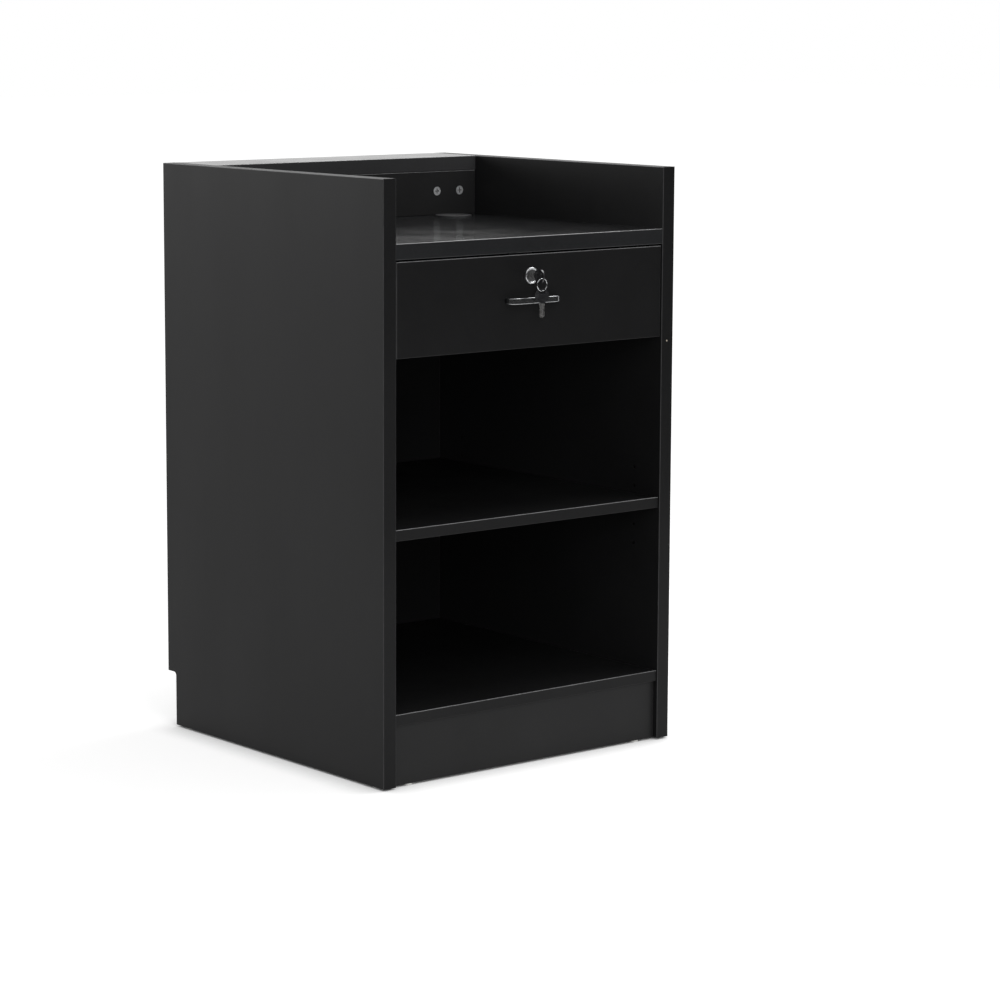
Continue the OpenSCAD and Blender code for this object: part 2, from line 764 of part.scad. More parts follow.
// A disc with a notch for the cables
module grommet_cap() {
  notch_y = notch_depth - notch_w / 2 - cap_d / 2;
  color(black_plastic) translate([grommet_x, grommet_y, counter_top_z + grommet_flange_h - cap_t])
    difference() {
      cylinder(d = cap_d, h = cap_t);
      translate([0, notch_y, -cut]) cylinder(d = notch_w, h = cap_t + 2 * cut);
      translate([-notch_w / 2, -cap_d, -cut]) cube([notch_w, cap_d + notch_y, cap_t + 2 * cut]);
    }
}

// An angle under the counter top that the tongue turns up behind
module lock_strike() {
  color(steel) difference() {
    union() {
      translate([pull_x - strike_w / 2, strike_y, counter_under_z - strike_drop])
        cube([strike_w, tongue_t, strike_drop]);
      translate([pull_x - strike_w / 2, strike_y, counter_under_z - tongue_t])
        cube([strike_w, strike_leg, tongue_t]);
    }
    at_strike_screws() wood_screw_bore(strike_screw_d, strike_screw_l);
    at_strike_screws() countersink(strike_screw_d, strike_screw_head_d);
  }
}

module strike_screws() {
  color(steel) at_strike_screws() wood_screw(strike_screw_d, strike_screw_l, strike_screw_head_d);
}

// Draws a runner section on the given side: s is -1 for left and 1 for right
module runner_section(s, y, l) {
  translate([s * inner_x, y, runner_z]) mirror([s > 0 ? 1 : 0, 0, 0])
    translate([0, l, 0]) rotate([90, 0, 0]) linear_extrude(l) children();
}

module runner_outer(s) {
  color(steel) difference() {
    runner_section(s, runner_y, runner_l) {
      translate([0, -runner_h / 2]) square([runner_sheet, runner_h]);
      for (m = [0, 1]) mirror([0, m]) {
        translate([0, outer_lip_z]) square([outer_lip_reach, runner_sheet]);
        translate([outer_lip_reach - outer_curl, outer_lip_z - outer_curl])
          square([outer_curl, outer_curl + runner_sheet / 2]);
      }
    }
    at_cabinet_screws() wood_screw_bore(runner_screw_d, cabinet_screw_l);
    at_cabinet_screws() countersink(runner_screw_d, runner_screw_head_d);
  }
}

module runner_inner(s) {
  color(steel) difference() {
    runner_section(s, runner_y, runner_l) {
      difference() {
        translate([inner_flange_u, -inner_flange_z])
          square([runner_space - inner_flange_u, 2 * inner_flange_z]);
        translate([inner_flange_u - cut, runner_sheet - inner_flange_z])
          square([cut + inner_web_u - inner_flange_u, 2 * (inner_flange_z - runner_sheet)]);
      }
    }
    at_drawer_screws() wood_screw_bore(runner_screw_d, drawer_screw_l);
    at_drawer_screws() countersink(runner_screw_d, runner_screw_head_d);
  }
}

module at_balls(s) {
  spacing = cage_l / balls_in_row;
  for (k = [0:balls_in_row - 1], v = [-1, 1])
    translate([s * (inner_x - ball_u), cage_y + (k + 0.5) * spacing, runner_z + v * ball_z]) children();
}

module runner_cage(s) {
  color(brass) difference() {
    runner_section(s, cage_y, cage_l) {
      translate([cage_u, -ball_z - cage_sheet / 2]) square([cage_sheet, 2 * ball_z + cage_sheet]);
      for (v = [-1, 1]) translate([cage_u, v * ball_z - cage_sheet / 2])
        square([cage_tab_u - cage_u, cage_sheet]);
    }
    at_balls(s) cylinder(d = ball_d + 2 * cage_play, h = ball_d, center = true);
  }
}

module runner_balls(s) {
  color(chrome) at_balls(s) sphere(d = ball_d);
}

module runner_outer_left() {
  runner_outer(-1);
}

module runner_outer_right() {
  runner_outer(1);
}

module runner_inner_left() {
  runner_inner(-1);
}

module runner_inner_right() {
  runner_inner(1);
}

module runner_cage_left() {
  runner_cage(-1);
}

module runner_cage_right() {
  runner_cage(1);
}

module runner_balls_left() {
  runner_balls(-1);
}

module runner_balls_right() {
  runner_balls(1);
}

module runner_screws_cabinet() {
  color(steel) at_cabinet_screws() wood_screw(runner_screw_d, cabinet_screw_l, runner_screw_head_d);
}

module runner_screws_drawer() {
  color(steel) at_drawer_screws() wood_screw(runner_screw_d, drawer_screw_l, runner_screw_head_d);
}

// The space of the drawer bottom and the grooves that hold it
module bottom_groove() {
  translate([-drawer_inner_x - groove_depth, drawer_back_face_y - groove_depth, bottom_z - groove_play])
    cube([2 * (drawer_inner_x + groove_depth), drawer_box_l - drawer_side_t + 2 * groove_depth,
          drawer_bottom_t + 2 * groove_play]);
}

// Profile of the lock's barrel: round with two flats
module barrel_profile(play) {
  intersection() {
    circle(d = barrel_d + 2 * play);
    square([barrel_flats + 2 * play, barrel_d + 2 * play + cut], center = true);
  }
}

module drawer_front() {
  color(laminate) difference() {
    translate([-drawer_w / 2, drawer_y, drawer_low_z]) board_y(drawer_w, board_t, drawer_front_h);
    bottom_groove();
    at_fittings(drawer_fittings) bolt_bore();
    translate([pull_x, drawer_y - cut, lock_z]) rotate([-90, 0, 0])
      linear_extrude(board_t + 2 * cut) barrel_profile(board_play);
    for (x = handle_screw_xs) translate([x, drawer_y - cut, handle_z]) rotate([-90, 0, 0])
      cylinder(d = handle_screw_d + 2 * board_play, h = board_t + 2 * cut);
  }
}

module drawer_side(s) {
  low_x = s < 0 ? -box_x : drawer_inner_x;
  color(laminate) difference() {
    translate([low_x, drawer_back_face_y, box_low_z]) board_x(drawer_side_t, drawer_box_l, drawer_box_h);
    bottom_groove();
    at_fittings(s < 0 ? drawer_left_fittings : drawer_right_fittings) cam_bore();
    at_drawer_screws() wood_screw_bore(runner_screw_d, drawer_screw_l);
    at_back_screws() wood_screw_bore(back_screw_d, back_screw_l);
    at_back_screws() countersink(back_screw_d, back_screw_head_d);
  }
}

module drawer_side_left() {
  drawer_side(-1);
}

module drawer_side_right() {
  drawer_side(1);
}

module drawer_back() {
  color(laminate) difference() {
    translate([-drawer_inner_x, box_back_y - drawer_side_t, box_low_z])
      board_y(2 * drawer_inner_x, drawer_side_t, drawer_box_h);
    bottom_groove();
    at_back_screws() wood_screw_bore(back_screw_d, back_screw_l);
  }
}

module drawer_bottom() {
  edge = groove_depth - groove_play;
  color(laminate) translate([-drawer_inner_x - edge, drawer_back_face_y - edge, bottom_z])
    cube([2 * (drawer_inner_x + edge), drawer_box_l - drawer_side_t + 2 * edge, drawer_bottom_t]);
}

module drawer_cams() {
  color(zinc) at_fittings(drawer_fittings) cam();
}

module drawer_cam_bolts() {
  color(steel) at_fittings(drawer_fittings) cam_bolt();
}

module drawer_back_screws() {
  color(steel) at_back_screws() wood_screw(back_screw_d, back_screw_l, back_screw_head_d);
}

module band_section() {
  translate([-handle_t / 2, -handle_h / 2]) rounded_rect(handle_t, handle_h, handle_edge_r);
}

module handle() {
  foot_h = handle_h - 2 * handle_edge_r - foot_inset;
  color(chrome) translate([pull_x, drawer_y, handle_z]) rotate([0, 0, 180]) difference() {
    union() {
      translate([-bend_x, handle_depth, 0]) rotate([90, 0, 90]) linear_extrude(2 * bend_x) band_section();
      for (m = [0, 1]) mirror([m, 0, 0]) {
        translate([bend_x, leg_l, 0]) rotate_extrude(angle = 90)
          translate([handle_bend_r, 0]) band_section();
        translate([handle_half, leg_l, 0]) rotate([90, 0, 0]) linear_extrude(leg_l) band_section();
        intersection() {
          translate([bend_x, leg_l, -foot_h / 2])
            cylinder(r = handle_bend_r + handle_t / 2 - foot_inset, h = foot_h);
          translate([handle_half + handle_t / 2 - foot_w, 0, -foot_h / 2]) cube([foot_w, foot_l, foot_h]);
        }
      }
    }
    for (s = [-1, 1]) translate([s * handle_centres / 2, -cut, 0]) rotate([-90, 0, 0])
      cylinder(d = handle_screw_d + 2 * board_play, h = cut + handle_screw_bite + bore_end_gap / 2);
  }
}

module handle_screws() {
  color(steel) for (x = handle_screw_xs) translate([x, drawer_back_face_y, handle_z])
    rotate([90, 0, 0]) difference() {
      union() {
        translate([0, 0, -handle_screw_head_h]) cylinder(d = handle_screw_head_d, h = handle_screw_head_h);
        cylinder(d = handle_screw_d, h = board_t + handle_screw_bite);
      }
      for (a = [0, 90]) rotate([0, 0, a])
        translate([-handle_screw_d / 2, -0.5, -handle_screw_head_h - cut])
          cube([handle_screw_d, 1, cut + handle_screw_head_h / 2]);
    }
}

// Puts children on the lock's axis with +Z pointing out of the drawer front
module on_lock_axis(y) {
  translate([pull_x, y, lock_z]) rotate([90, 0, 0]) children();
}

module lock_housing() {
  rim_r = lock_rim / 2;
  color(chrome) on_lock_axis(drawer_y) difference() {
    union() {
      rotate_extrude() {
        square([lock_head_d / 2 - rim_r, plug_face]);
        square([lock_head_d / 2, lock_head_h - rim_r]);
        translate([lock_head_d / 2 - rim_r, lock_head_h - rim_r]) circle(r = rim_r);
      }
      translate([0, 0, -barrel_l]) linear_extrude(barrel_l + cut / 2) barrel_profile(0);
    }
    translate([0, 0, -barrel_l - cut])
      cylinder(d = plug_d + 2 * running_play, h = barrel_l + plug_face + 2 * cut);
    translate([0, 0, plug_face - plug_flange_t - running_play])
      cylinder(d = plug_flange_d + 2 * running_play, h = plug_flange_t + cut);
  }
}

module lock_nut() {
  color(zinc) on_lock_axis(drawer_back_face_y) translate([0, 0, -nut_t]) difference() {
    cylinder(d = nut_flats / cos(30), h = nut_t, $fn = 6);
    translate([0, 0, -cut]) cylinder(d = barrel_d + 2 * board_play, h = nut_t + 2 * cut);
  }
}

module lock_plug() {
  color(zinc) on_lock_axis(drawer_y) difference() {
    union() {
      translate([0, 0, -barrel_l - part_gap + 0.1])
        cylinder(d = plug_d, h = barrel_l + part_gap - 0.1 + plug_face);
      translate([0, 0, plug_face - plug_flange_t]) cylinder(d = plug_flange_d, h = plug_flange_t);
      translate([-plug_square / 2, -plug_square / 2, -barrel_l - part_gap - tang_l])
        cube([plug_square, plug_square, tang_l + tang_sink]);
    }
    translate([-blade_t / 2 - keyway_play, -blade_w / 2 - keyway_play, plug_face - keyway_l])
      cube([blade_t + 2 * keyway_play, blade_w + 2 * keyway_play, keyway_l + cut]);
    translate([0, 0, -barrel_l - part_gap - tang_l - cut])
      cylinder(d = tongue_screw_d + 2 * board_play, h = cut + tongue_screw_l + 0.5);
  }
}

// The tongue lies along +X while the drawer is unlocked
module lock_tongue() {
  r = tongue_corner_r;
  color(steel) translate([pull_x, tongue_y + tongue_t, lock_z]) rotate([90, 0, 0])
    linear_extrude(tongue_t) difference() {
      union() {
        circle(d = tongue_w);
        translate([0, -tongue_w / 2]) square([tongue_reach - r, tongue_w]);
        translate([0, -tongue_w / 2 + r]) square([tongue_reach, tongue_w - 2 * r]);
        for (v = [-1, 1]) translate([tongue_reach - r, v * (tongue_w / 2 - r)]) circle(r = r);
      }
      square(plug_square + 2 * board_play, center = true);
    }
}

module tongue_screw() {
  seat = -barrel_l - part_gap - tang_l;
  color(steel) on_lock_axis(drawer_y) difference() {
    union() {
      translate([0, 0, seat]) cylinder(d = tongue_screw_d, h = tongue_screw_l);
      translate([0, 0, seat - tongue_screw_head_h])
        cylinder(d = tongue_screw_head_d, h = tongue_screw_head_h);
    }
    translate([-tongue_screw_head_d / 2, -tongue_screw_slot_w / 2, seat - tongue_screw_head_h - cut])
      cube([tongue_screw_head_d, tongue_screw_slot_w, cut + tongue_screw_slot_depth]);
  }
}

// The metal of a key: collar, blade with a pointed tip and its cuts, and the tang inside the bow
module key_metal() {
  start = bow_d / 2;
  blade_end = start + blade_l;
  rotate([90, 0, 90]) translate([0, 0, -blade_t / 2]) linear_extrude(blade_t) difference() {
    union() {
      translate([start - bow_tang_l, -bow_tang_w / 2]) square([bow_tang_l + blade_sink, bow_tang_w]);
      translate([start, -collar_w / 2]) square([collar_l, collar_w]);
      polygon([[start + blade_sink, -blade_w / 2], [blade_end - tip_l, -blade_w / 2],
               [blade_end, -blade_w / 6], [blade_end, blade_w / 6],
               [blade_end - tip_l, blade_w / 2], [start + blade_sink, blade_w / 2]]);
    }
    for (k = [0:bitting_cuts - 1])
      translate([blade_end - tip_l - 1 - k * bitting_pitch, blade_w / 2 + 0.6 * (k % 2)])
        rotate(45) square(bitting_depth, center = true);
  }
}

// The round plastic bow, slotted for the ring and pocketed for the tang
module key_grip() {
  rotate([90, 0, 90]) translate([0, 0, -bow_t / 2]) difference() {
    linear_extrude(bow_t) difference() {
      circle(d = bow_d);
      translate([bow_slot_y - bow_slot_l / 2, -bow_slot_w / 2]) rounded_rect(bow_slot_l, bow_slot_w, 1);
    }
    translate([bow_d / 2 - bow_tang_l - board_play, -bow_tang_w / 2 - board_play,
               bow_t / 2 - blade_t / 2 - board_play])
      cube([bow_tang_l + bow_d, bow_tang_w + 2 * board_play, blade_t + 2 * board_play]);
  }
}

module key_blade() {
  color(steel) translate([pull_x, key_y, lock_z]) key_metal();
}

module key_bow() {
  color(black_plastic) translate([pull_x, key_y, lock_z]) key_grip();
}

module key_ring() {
  color(chrome) translate([pull_x, ring_y, ring_z]) rotate([90, 0, 0]) rotate_extrude()
    for (v = [-1, 1]) translate([ring_r, v * coil_offset]) circle(d = wire_d);
}

module spare_key_blade() {
  color(steel) translate([pull_x, ring_y, spare_key_z]) rotate([-90, 0, spare_turn]) key_metal();
}

module spare_key_bow() {
  color(black_plastic) translate([pull_x, ring_y, spare_key_z]) rotate([-90, 0, spare_turn]) key_grip();
}

side_panel_left();
side_panel_right();
counter_top();
ledge();
riser();
customer_panel();
kick_board();
plinth();
bottom_shelf();
middle_shelf();
shelf_pins();
cams();
cam_bolts();
dowels();
glides();
glide_nails();
grommet_sleeve();
grommet_cap();
lock_strike();
strike_screws();
runner_outer_left();
runner_outer_right();
runner_cage_left();
runner_cage_right();
runner_balls_left();
runner_balls_right();
runner_inner_left();
runner_inner_right();
runner_screws_cabinet();
runner_screws_drawer();
drawer_front();
drawer_side_left();
drawer_side_right();
drawer_back();
drawer_bottom();
drawer_cams();
drawer_cam_bolts();
drawer_back_screws();
handle();
handle_screws();
lock_housing();
lock_nut();
lock_plug();
lock_tongue();
tongue_screw();
key_blade();
key_bow();
key_ring();
spare_key_blade();
spare_key_bow();
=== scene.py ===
import json
import math

import bpy
from mathutils import Matrix, Vector


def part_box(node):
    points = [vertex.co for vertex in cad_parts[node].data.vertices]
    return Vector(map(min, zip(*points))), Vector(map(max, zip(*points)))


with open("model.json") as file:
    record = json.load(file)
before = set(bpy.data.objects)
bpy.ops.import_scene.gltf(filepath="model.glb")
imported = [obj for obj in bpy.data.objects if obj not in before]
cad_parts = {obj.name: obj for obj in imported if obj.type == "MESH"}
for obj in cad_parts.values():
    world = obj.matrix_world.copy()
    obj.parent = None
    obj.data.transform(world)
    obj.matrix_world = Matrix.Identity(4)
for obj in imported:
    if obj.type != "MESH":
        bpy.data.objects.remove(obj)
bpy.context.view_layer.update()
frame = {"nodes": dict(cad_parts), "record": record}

# Camera at the photograph's viewing angle: metres, degrees from +Y and from level, and millimetres of lens
CAM_POS = (-3.2552, -4.1218, 1.2241)
CAM_YAW, CAM_PITCH, CAM_ROLL = 38.238, 8.433, 0.061
CAM_LENS, CAM_SENSOR = 114.84, 36
CAM_SHIFT = (0.081, -0.029)
CAM_NEAR, CAM_FAR = 0.1, 100


def make_camera():
    yaw, pitch, roll = map(math.radians, (CAM_YAW, CAM_PITCH, CAM_ROLL))
    forward = Vector((math.sin(yaw) * math.cos(pitch), math.cos(yaw) * math.cos(pitch), -math.sin(pitch)))
    flat_right = Vector((math.cos(yaw), -math.sin(yaw), 0))
    flat_up = flat_right.cross(forward)
    right = math.cos(roll) * flat_right + math.sin(roll) * flat_up
    up = math.cos(roll) * flat_up - math.sin(roll) * flat_right
    cam = bpy.data.objects.new("camera", bpy.data.cameras.new("camera"))
    bpy.context.scene.collection.objects.link(cam)
    cam.data.sensor_width = CAM_SENSOR
    cam.data.lens = CAM_LENS
    cam.data.shift_x, cam.data.shift_y = CAM_SHIFT
    cam.data.clip_start, cam.data.clip_end = CAM_NEAR, CAM_FAR
    turn = Matrix((right, up, -forward)).transposed()
    cam.matrix_world = Matrix.Translation(CAM_POS) @ turn.to_4x4()
    bpy.context.scene.camera = cam


make_camera()

# Between these two lie most values of a noise texture
NOISE_RANGE = (0.35, 0.65)


class Nodes:
    """The node tree of a material or of the world, with short calls for the nodes that they share."""

    def __init__(self, owner):
        owner.use_nodes = True
        self.tree = owner.node_tree

    def node(self, kind, inputs=None, **values):
        n = self.tree.nodes.new(kind)
        for name, value in values.items():
            setattr(n, name, value)
        for socket, value in (inputs or {}).items():
            self.feed(n.inputs[socket], value)
        return n

    def feed(self, socket, value):
        """Links another node's output to the socket, or sets its number or colour."""
        if isinstance(value, bpy.types.NodeSocket):
            self.tree.links.new(value, socket)
        elif socket.type == "RGBA":
            socket.default_value = (*value, 1)
        else:
            socket.default_value = value

    def math(self, operation, a, b=None):
        inputs = {0: a} if b is None else {0: a, 1: b}
        return self.node("ShaderNodeMath", inputs, operation=operation).outputs[0]

    def spread(self, value, lo, hi, to_lo=0.0, to_hi=1.0):
        """Carries the range from lo to hi over to the range from to_lo to to_hi, and stops at its ends."""
        inputs = {"Value": value, "From Min": lo, "From Max": hi, "To Min": to_lo, "To Max": to_hi}
        return self.node("ShaderNodeMapRange", inputs).outputs["Result"]

    def weigh(self, share, a, b):
        """The given share of a, and the rest of b."""
        return self.math("ADD", self.math("MULTIPLY", a, share), self.math("MULTIPLY", b, 1 - share))

    def mix(self, fac, a, b):
        return self.node("ShaderNodeMix", {0: fac, 6: a, 7: b}, data_type="RGBA").outputs[2]


class Surface(Nodes):
    """A material of the object, made in the object's own coordinates."""

    def __init__(self, name):
        self.mat = bpy.data.materials.new(name)
        super().__init__(self.mat)
        self.coords = self.node("ShaderNodeTexCoord").outputs["Object"]

    def shade(self, **inputs):
        """Sets or links the shader's own sockets."""
        for name, value in inputs.items():
            self.feed(self.tree.nodes["Principled BSDF"].inputs[name.replace("_", " ")], value)

    def noise(self, scale, detail, rough, stretch=None):
        place = self.coords
        if stretch:
            place = self.node("ShaderNodeMapping", {"Vector": place, "Scale": stretch}).outputs["Vector"]
        inputs = {"Vector": place, "Scale": scale, "Detail": detail, "Roughness": rough}
        return self.node("ShaderNodeTexNoise", inputs).outputs["Fac"]

    def relief(self, *layers):
        """Bumps the surface. Each layer is a height, its strength and its depth in metres."""
        normal = None
        for height, strength, depth in layers:
            n = self.node("ShaderNodeBump", {"Height": height, "Strength": strength, "Distance": depth})
            if normal is not None:
                self.feed(n.inputs["Normal"], normal)
            normal = n.outputs["Normal"]
        self.shade(Normal=normal)

    def facing(self):
        """The surface's direction in the object's own frame, as x, y and z."""
        normal = self.node("ShaderNodeTexCoord").outputs["Normal"]
        return tuple(self.node("ShaderNodeSeparateXYZ", {0: normal}).outputs)

    def on_arris(self):
        """1 on the rounded edges of a board, 0 on its flat faces."""
        x, y, z = (self.math("ABSOLUTE", v) for v in self.facing())
        steepest = self.math("MAXIMUM", self.math("MAXIMUM", x, y), z)
        return self.spread(steepest, lo=0.995, hi=0.96)


# Laminated boards: darkest and lightest tone, range of roughness, the painted highlight on upper arrises,
# the painted shade in the holes for shelf pins, and the bare core that shows where the band is chipped
SKIN = ((0.0060, 0.0060, 0.0062), (0.0082, 0.0082, 0.0085))
COUNTER_SKIN = ((0.0060, 0.0062, 0.0065), (0.0084, 0.0087, 0.0092))
# The riser's skin is a lit copy: painted lighter than the other boards, for light that the lamps don't bring
# there
RISER_LIT_SKIN = ((0.0100, 0.0100, 0.0102), (0.0135, 0.0135, 0.0138))
PLINTH_SKIN = ((0.0100, 0.0100, 0.0102), (0.0132, 0.0132, 0.0135))
MATT, SATIN, GLOSSY = (0.36, 0.44), (0.15, 0.24), (0.145, 0.225)
ARRIS_HIGHLIGHT = (0.18, 0.18, 0.184)
BORE_SHADE = (0.003, 0.003, 0.003)
BARE_CORE = (0.42, 0.37, 0.30)


def laminate(name, skin=SKIN, rough=MATT, specular=0.12, pearl=0.08, band=1.0, bored=False, chip=None):
    """Black melamine-faced board: pearled skin, uneven sheen, wipe marks, a painted highlight on its upper
    arrises, edge band.

    band lightens the edge band on the staff side, bored paints shade into the holes for shelf pins, and chip
    is the place of a spot where the band is chipped.
    """
    g = Surface(name)
    cloud = g.noise(scale=3.0, detail=4.0, rough=0.6)
    fine = g.noise(scale=260.0, detail=3.0, rough=0.6)
    wipe = g.noise(scale=9.0, detail=5.0, rough=0.65, stretch=(1.0, 1.0, 0.25))
    highlight_breakup = g.noise(scale=40.0, detail=4.0, rough=0.7)
    _, y, z = g.facing()

    tone = g.spread(g.weigh(0.75, cloud, fine), *NOISE_RANGE)
    banding = tuple(tuple(v * band for v in colour) for colour in skin)
    on_front = g.spread(y, lo=-0.9, hi=-0.99)
    colour = g.mix(on_front, g.mix(tone, *skin), g.mix(tone, *banding))

    # Painted highlight: the arrises that face up are lightened in patches, standing in for the glint of the
    # lamps above
    on_top = g.spread(z, lo=-0.1, hi=0.5, to_lo=0.04, to_hi=1.0)
    patchy = g.spread(highlight_breakup, lo=0.3, hi=0.7, to_lo=0.6, to_hi=1.0)
    arris_highlight = g.math("MULTIPLY", g.math("MULTIPLY", g.on_arris(), on_top), patchy)
    colour = g.mix(arris_highlight, colour, ARRIS_HIGHLIGHT)
    if bored:
        # Painted shade: the insides of the holes for shelf pins are darkened
        across = g.math("MINIMUM", g.math("ABSOLUTE", y), g.math("ABSOLUTE", z))
        colour = g.mix(g.spread(across, lo=0.03, hi=0.1), colour, BORE_SHADE)
    if chip:
        away = g.node("ShaderNodeVectorMath", {0: g.coords, 1: chip}, operation="DISTANCE").outputs["Value"]
        ragged = g.math("MULTIPLY", g.noise(scale=900.0, detail=2.0, rough=0.5), 0.0012)
        in_chip = g.spread(g.math("ADD", away, ragged), lo=0.0023, hi=0.0015)
        colour = g.mix(in_chip, colour, BARE_CORE)

    sheen = g.spread(g.weigh(0.7, wipe, fine), *NOISE_RANGE, *rough)
    g.shade(Base_Color=colour, Roughness=sheen, Specular_IOR_Level=specular)
    g.relief((g.noise(scale=1400.0, detail=2.0, rough=0.5), pearl, 0.0002),
             (g.noise(scale=30.0, detail=2.0, rough=0.5), 0.05, 0.0004))
    return g.mat


def metal(name, dark, light, rough, stretch=None, scale=900.0, depth=0.03, metallic=1.0):
    """Plated metal: drawn or cast skin, uneven polish, a little tarnish, and painted shade in its recesses.
    """
    g = Surface(name)
    grain = g.noise(scale, detail=4.0, rough=0.6, stretch=stretch)
    tarnish = g.noise(scale=90.0, detail=5.0, rough=0.65)
    # Painted shade: the colour darkens where ambient occlusion finds a recess in the part itself
    occlusion = g.node("ShaderNodeAmbientOcclusion", {"Distance": 0.003}, samples=6, only_local=True)
    in_recess = g.spread(occlusion.outputs["AO"], lo=0.85, hi=0.45)
    plating = g.mix(g.spread(tarnish, lo=0.35, hi=0.7), light, dark)
    shade_tone = tuple(0.12 * v for v in dark)
    g.shade(Base_Color=g.mix(in_recess, plating, shade_tone), Metallic=metallic,
            Roughness=g.spread(g.weigh(0.5, grain, tarnish), *NOISE_RANGE, *rough))
    g.relief((grain, depth, 0.0001))
    return g.mat


def plastic(name, dark, light, rough, depth=0.1):
    """Moulded plastic: fine spark-eroded grain and a slightly uneven tone."""
    g = Surface(name)
    grain = g.noise(scale=1800.0, detail=2.0, rough=0.5)
    cloud = g.noise(scale=60.0, detail=4.0, rough=0.6)
    g.shade(Base_Color=g.mix(g.spread(cloud, *NOISE_RANGE), dark, light),
            Roughness=g.spread(g.weigh(0.4, grain, cloud), *NOISE_RANGE, *rough))
    g.relief((grain, depth, 0.0001))
    return g.mat


def wood(name, light, dark, rough):
    """Bare turned wood with its grain along X and short flecks."""
    g = Surface(name)
    grain = g.noise(scale=60.0, detail=6.0, rough=0.65, stretch=(0.2, 3.0, 3.0))
    fleck = g.noise(scale=900.0, detail=3.0, rough=0.6, stretch=(0.15, 1.0, 1.0))
    g.shade(Base_Color=g.mix(g.spread(grain, *NOISE_RANGE), light, dark),
            Roughness=g.spread(fleck, 0.3, 0.7, *rough))
    g.relief((fleck, 0.25, 0.0002))
    return g.mat


# How far the chip lies inside the right side panel's outer face, and below its upper edge
CHIP_IN, CHIP_DOWN = 0.0133, 0.2841
right_lo, right_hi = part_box("side_panel_right")
chip_place = (right_hi.x - CHIP_IN, right_lo.y, right_hi.z - CHIP_DOWN)

# One material for each of the record's slots
SLOT_MATERIALS = {
    "laminate": laminate("black_board"),
    "counter_laminate": laminate("counter_board", COUNTER_SKIN, GLOSSY, specular=0.30, pearl=0.02, band=1.8),
    "plinth_laminate": laminate("plinth_board", PLINTH_SKIN, specular=0.155),
    "steel": metal("plated_steel", dark=(0.42, 0.43, 0.44), light=(0.62, 0.63, 0.64), rough=(0.25, 0.42),
                   stretch=(1.0, 0.08, 1.0), scale=700.0, depth=0.05),
    "zinc": metal("cast_zinc", dark=(0.42, 0.43, 0.44), light=(0.66, 0.67, 0.68), rough=(0.4, 0.6),
                  scale=1200.0, depth=0.15, metallic=0.75),
    "ball_steel": metal("polished_ball", dark=(0.60, 0.60, 0.61), light=(0.72, 0.72, 0.73),
                        rough=(0.05, 0.12), scale=700.0, depth=0.01),
    "chrome": metal("nickel", dark=(0.55, 0.56, 0.57), light=(0.70, 0.71, 0.72), rough=(0.12, 0.24)),
    "key_metal": metal("key_metal", dark=(0.40, 0.395, 0.385), light=(0.62, 0.61, 0.60), rough=(0.20, 0.34),
                       stretch=(1.0, 1.0, 0.1), scale=700.0, depth=0.05),
    "beech": wood("beech", light=(0.62, 0.42, 0.24), dark=(0.50, 0.31, 0.16), rough=(0.55, 0.75)),
    "pale_plastic": plastic("pale_plastic", dark=(0.50, 0.50, 0.48), light=(0.62, 0.62, 0.60),
                            rough=(0.4, 0.55)),
    "black_plastic": plastic("black_plastic", dark=(0.010, 0.010, 0.011), light=(0.016, 0.016, 0.017),
                             rough=(0.4, 0.55)),
    "key_plastic": plastic("key_plastic", dark=(0.010, 0.010, 0.011), light=(0.016, 0.016, 0.017),
                           rough=(0.18, 0.3), depth=0.03),
    "cage_plastic": plastic("cage_plastic", dark=(0.10, 0.10, 0.10), light=(0.15, 0.15, 0.15),
                            rough=(0.4, 0.5))}

# Nodes whose look differs a little from that of their slot
shelf_board = laminate("banded_board", band=1.1)
OWN_MATERIALS = {
    "side_panel_left": laminate("left_side_board", bored=True),
    "side_panel_right": laminate("right_side_board", bored=True, chip=chip_place),
    "middle_shelf": shelf_board,
    "bottom_shelf": shelf_board,
    "ledge": laminate("ledge_board", rough=SATIN, specular=0.42, pearl=0.04, band=3.4),
    # Painted light: the riser is a lighter, lit copy of the black board
    "riser": laminate("riser_lit_board", RISER_LIT_SKIN),
    "lock_plug": metal("nickel_plug", dark=(0.32, 0.32, 0.325), light=(0.50, 0.50, 0.51),
                       rough=(0.24, 0.40)),
    "lock_housing": metal("lock_chrome", dark=(0.60, 0.61, 0.62), light=(0.78, 0.79, 0.80),
                          rough=(0.22, 0.36)),
    "handle": metal("dark_chrome", dark=(0.26, 0.265, 0.27), light=(0.40, 0.405, 0.41), rough=(0.12, 0.24))}

for part in frame["record"]["subparts"]:
    obj = frame["nodes"][part["node"]]
    material = OWN_MATERIALS.get(part["node"], SLOT_MATERIALS[part["material_slot"]])
    if not obj.material_slots:
        obj.data.materials.append(material)
    for s in obj.material_slots:
        s.material = material


def new_object(name, data):
    obj = bpy.data.objects.new(name, data)
    bpy.context.scene.collection.objects.link(obj)
    return obj


def stage_object(name, verts, faces):
    """A mesh of the studio, with an empty material of its own, and that material's nodes."""
    mesh = bpy.data.meshes.new(name)
    mesh.from_pydata(verts, [], faces)
    obj = new_object(name, mesh)
    mat = bpy.data.materials.new(name)
    mesh.materials.append(mat)
    g = Nodes(mat)
    g.tree.nodes.clear()
    return obj, g


def seen_rays(g):
    """1 for the rays that see the white studio, 0 for those that only carry light."""
    path = g.node("ShaderNodeLightPath").outputs
    gloss = g.math("MAXIMUM", path["Is Glossy Ray"], path["Is Transmission Ray"])
    return g.math("MAXIMUM", path["Is Camera Ray"], gloss)


FLOOR_SIZE = 60
FLOOR_TONES = ((0.48, 0.48, 0.48), (0.52, 0.52, 0.52))
